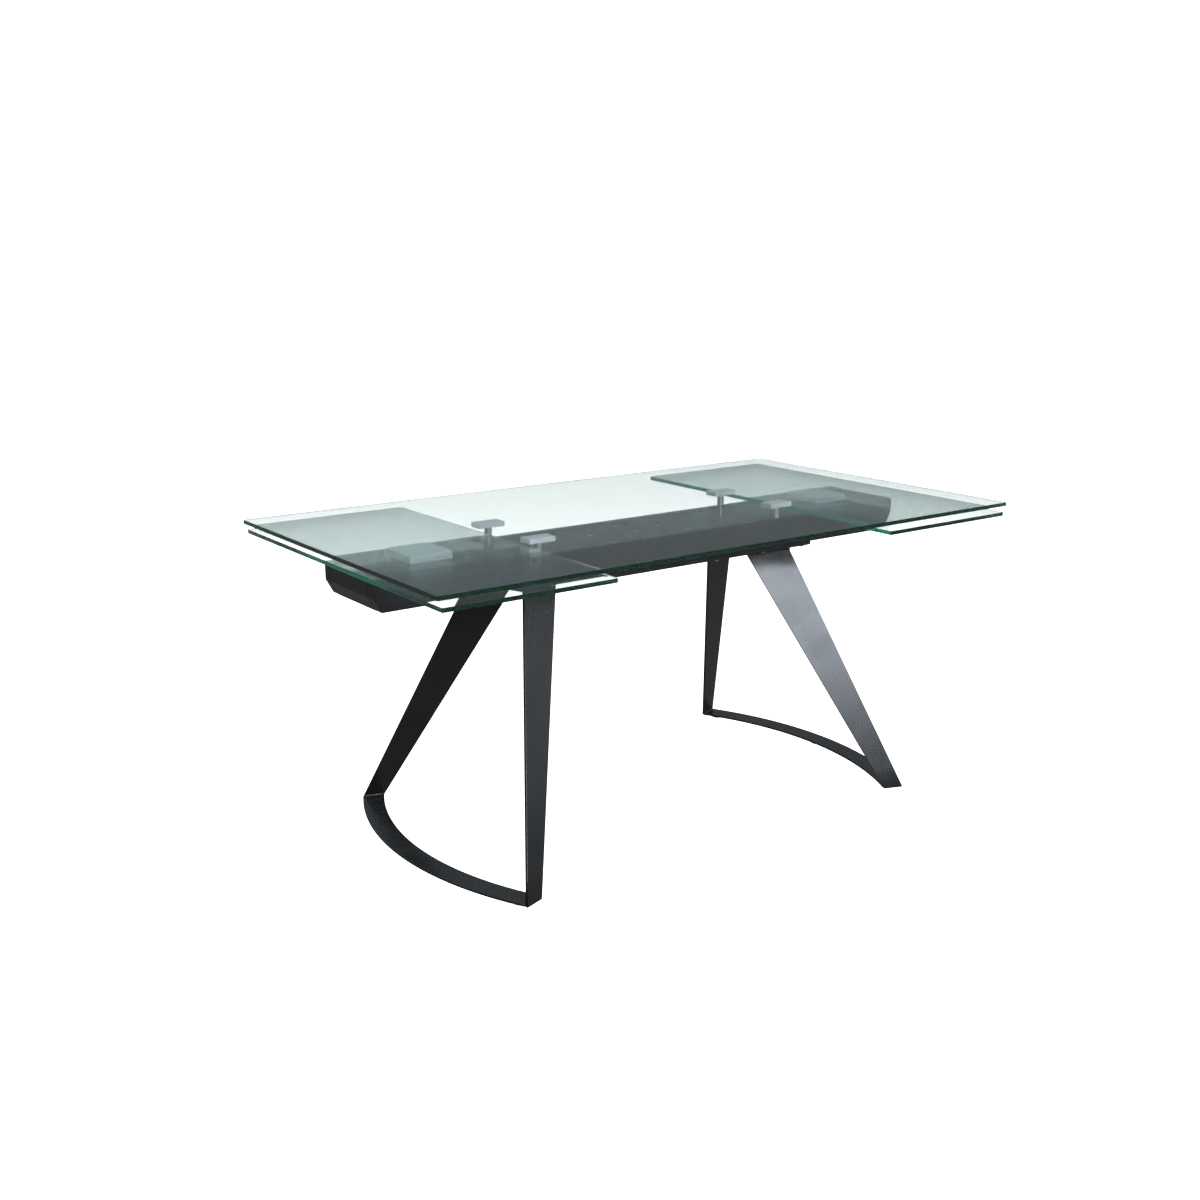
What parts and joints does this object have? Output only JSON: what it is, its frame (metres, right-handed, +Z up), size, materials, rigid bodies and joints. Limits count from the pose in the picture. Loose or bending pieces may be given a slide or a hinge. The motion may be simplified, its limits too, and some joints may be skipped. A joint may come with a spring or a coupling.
{
  "type": "extendable dining table",
  "caption": "Glass dining table on a splayed black steel base, with two glass leaves that slide out from under the fixed top on telescopic slides.",
  "frame": {"origin": "on the floor, under the middle of the table", "axes": "+X along the table's length, +Y across it to the back, +Z up"},
  "size_m": [1.7, 0.95, 0.765],
  "materials": {
    "clear_glass": "polished, green at the edges",
    "black_coated_steel": "satin powder coat",
    "brushed_aluminium": "brushed",
    "chromed_steel": "bright",
    "zinc_plated_steel": "zinc plated",
    "black_rubber": "matt",
    "black_plastic": "moulded"
  },
  "bodies": {
    "base": {"base_plate": "black_coated_steel", "beam_bolts": "chromed_steel", "beam_floor": "black_coated_steel", "centre_web": "black_coated_steel", "flange_bolts": "chromed_steel", "foot_rail_left": "black_coated_steel", "foot_rail_right": "black_coated_steel", "glides_left": "black_plastic", "glides_right": "black_plastic", "leg_flange_left_back": "black_coated_steel", "leg_flange_left_front": "black_coated_steel", "leg_flange_right_back": "black_coated_steel", "leg_flange_right_front": "black_coated_steel", "leg_left_back": "black_coated_steel", "leg_left_front": "black_coated_steel", "leg_right_back": "black_coated_steel", "leg_right_front": "black_coated_steel", "main_glass": "clear_glass", "plate_bolts": "chromed_steel", "post_inserts": "zinc_plated_steel", "side_rail_back": "black_coated_steel", "side_rail_front": "black_coated_steel", "slide_outer_left_back": "zinc_plated_steel", "slide_outer_left_front": "zinc_plated_steel", "slide_outer_right_back": "zinc_plated_steel", "slide_outer_right_front": "zinc_plated_steel", "stop_buffers": "black_rubber", "top_pad_left_back": "brushed_aluminium", "top_pad_left_front": "brushed_aluminium", "top_pad_right_back": "brushed_aluminium", "top_pad_right_front": "brushed_aluminium", "top_post_left_back": "chromed_steel", "top_post_left_front": "chromed_steel", "top_post_right_back": "chromed_steel", "top_post_right_front": "chromed_steel"},
    "leaf_left": {"arm_cover_left": "black_coated_steel", "arm_end_cap_left": "black_coated_steel", "arm_frame_left": "black_coated_steel", "block_screws_left": "zinc_plated_steel", "leaf_block_left": "brushed_aluminium", "leaf_glass_left": "clear_glass", "slide_inner_left_back": "zinc_plated_steel", "slide_inner_left_front": "zinc_plated_steel"},
    "leaf_right": {"arm_cover_right": "black_coated_steel", "arm_end_cap_right": "black_coated_steel", "arm_frame_right": "black_coated_steel", "block_screws_right": "zinc_plated_steel", "leaf_block_right": "brushed_aluminium", "leaf_glass_right": "clear_glass", "slide_inner_right_back": "zinc_plated_steel", "slide_inner_right_front": "zinc_plated_steel"},
    "slides_left": {"slide_middle_left_back": "zinc_plated_steel", "slide_middle_left_front": "zinc_plated_steel"},
    "slides_right": {"slide_middle_right_back": "zinc_plated_steel", "slide_middle_right_front": "zinc_plated_steel"}
  },
  "joints": [
    {"name": "leaf_left_pull", "type": "slide", "parent": "base", "child": "leaf_left", "axis": [-1, 0, 0], "range_m": [0, 0.436]},
    {"name": "leaf_right_pull", "type": "slide", "parent": "base", "child": "leaf_right", "axis": [1, 0, 0], "range_m": [0, 0.436]},
    {"name": "slides_left_travel", "type": "slide", "parent": "base", "child": "slides_left", "axis": [-1, 0, 0], "range_m": [0, 0.218]},
    {"name": "slides_right_travel", "type": "slide", "parent": "base", "child": "slides_right", "axis": [1, 0, 0], "range_m": [0, 0.218]}
  ],
  "couplings": [
    {"joint": "slides_left_travel", "follows": "leaf_left_pull", "ratio": 0.5},
    {"joint": "slides_right_travel", "follows": "leaf_right_pull", "ratio": 0.5}
  ]
}
